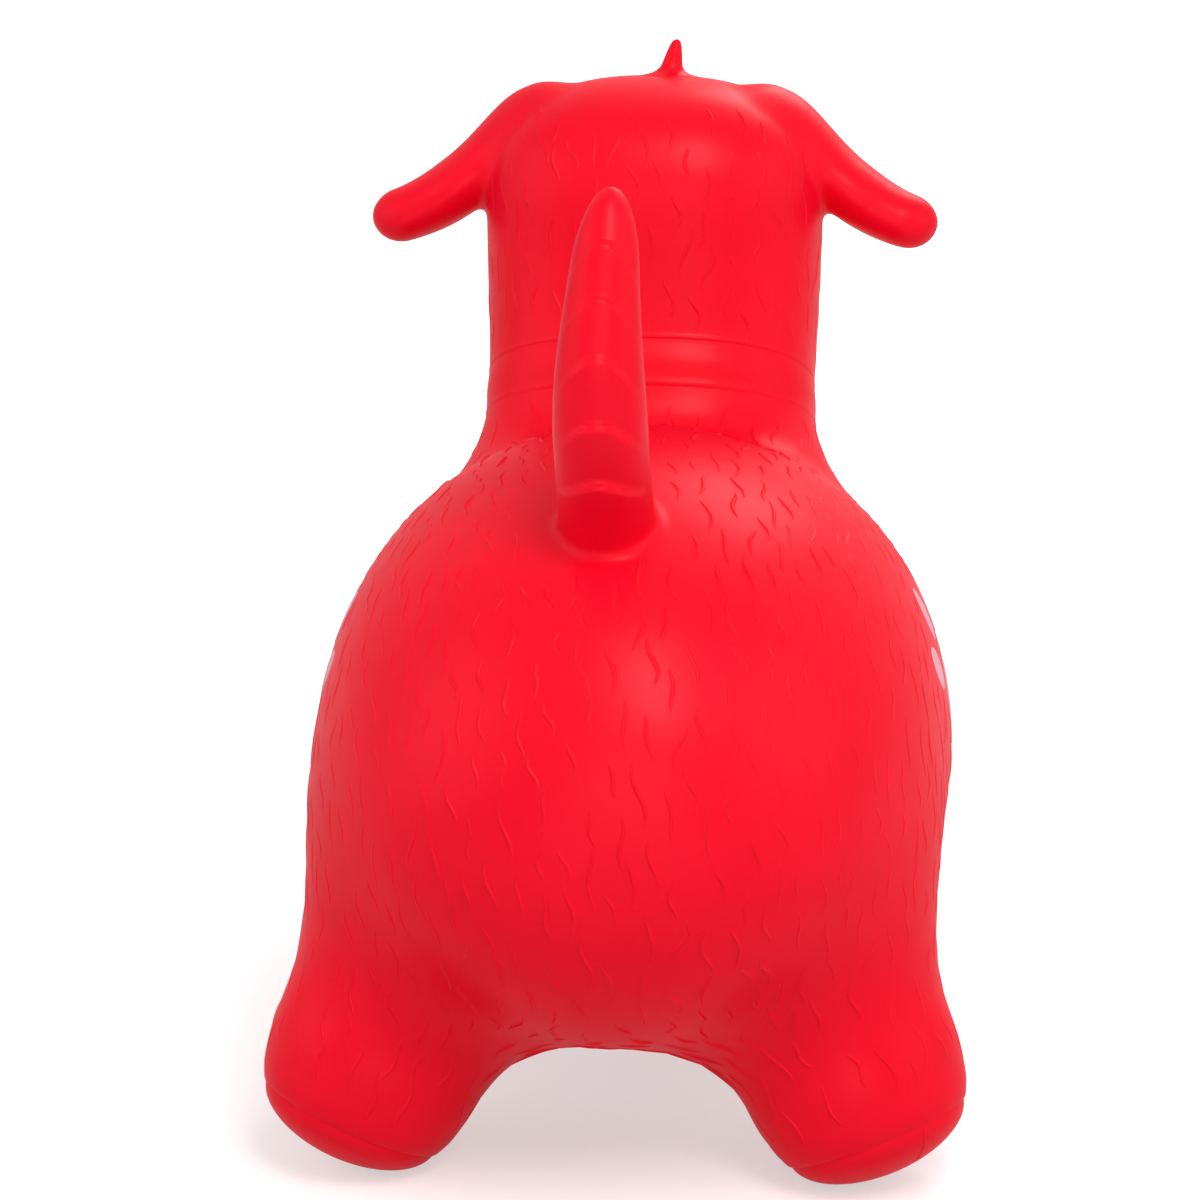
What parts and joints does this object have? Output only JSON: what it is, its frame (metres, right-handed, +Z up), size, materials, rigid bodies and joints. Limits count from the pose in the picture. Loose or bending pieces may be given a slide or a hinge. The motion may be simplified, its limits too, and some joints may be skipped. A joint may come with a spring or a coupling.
{
  "type": "inflatable hopping dog",
  "caption": "Inflatable soft vinyl dog that a child sits on and bounces, with drooping ears as handles, a stiff upright tail and a belly valve.",
  "frame": {"origin": "on the floor, under the middle of the dog's whole length and width", "axes": "+Y the way the dog faces, +X to its right, +Z up"},
  "size_m": [0.3006, 0.521, 0.4689],
  "materials": {
    "red_vinyl": "satin",
    "black_vinyl": "gloss",
    "black_ink": "satin",
    "white_ink": "satin",
    "pink_ink": "satin",
    "plug_vinyl": "satin"
  },
  "bodies": {
    "hopper_body": {"torso": "red_vinyl", "neck": "red_vinyl", "head": "red_vinyl", "collar": "red_vinyl", "muzzle": "red_vinyl", "head_tuft": "red_vinyl", "ear_root_left": "red_vinyl", "ear_root_right": "red_vinyl", "tail_root": "red_vinyl", "leg_rear_left": "red_vinyl", "leg_rear_right": "red_vinyl", "leg_front_left": "red_vinyl", "leg_front_right": "red_vinyl", "foot_rear_left": "red_vinyl", "foot_rear_right": "red_vinyl", "foot_front_left": "red_vinyl", "foot_front_right": "red_vinyl", "nose": "black_vinyl", "valve_seat": "red_vinyl", "mouth_line": "black_ink", "eye_white_left": "white_ink", "eye_white_right": "white_ink", "eye_pupil_left": "black_ink", "eye_pupil_right": "black_ink", "paw_pad_left": "pink_ink", "paw_pad_right": "pink_ink", "paw_toe_left_1": "pink_ink", "paw_toe_left_2": "pink_ink", "paw_toe_left_3": "pink_ink", "paw_toe_left_4": "pink_ink", "paw_toe_right_1": "pink_ink", "paw_toe_right_2": "pink_ink", "paw_toe_right_3": "pink_ink", "paw_toe_right_4": "pink_ink"},
    "ear_left": {"ear_left": "red_vinyl"},
    "ear_right": {"ear_right": "red_vinyl"},
    "tail": {"tail": "red_vinyl"},
    "valve_plug": {"valve_plug": "plug_vinyl"}
  },
  "joints": [
    {"name": "ear_left_bend", "type": "hinge", "parent": "hopper_body", "child": "ear_left", "pos_m": [-0.09565, 0.09695, 0.39754], "axis": [0, 1, 0], "range_deg": [-25, 35], "stiffness_Nm_per_rad": 1.5},
    {"name": "ear_right_bend", "type": "hinge", "parent": "hopper_body", "child": "ear_right", "pos_m": [0.09565, 0.09695, 0.39754], "axis": [0, -1, 0], "range_deg": [-25, 35], "stiffness_Nm_per_rad": 1.5},
    {"name": "tail_bend", "type": "hinge", "parent": "hopper_body", "child": "tail", "pos_m": [0, -0.2026, 0.32292], "axis": [1, 0, 0], "range_deg": [-20, 30], "stiffness_Nm_per_rad": 2.5},
    {"name": "valve_plug_pull", "type": "slide", "parent": "hopper_body", "child": "valve_plug", "axis": [0, 0, -1], "range_m": [0, 0.02]}
  ]
}
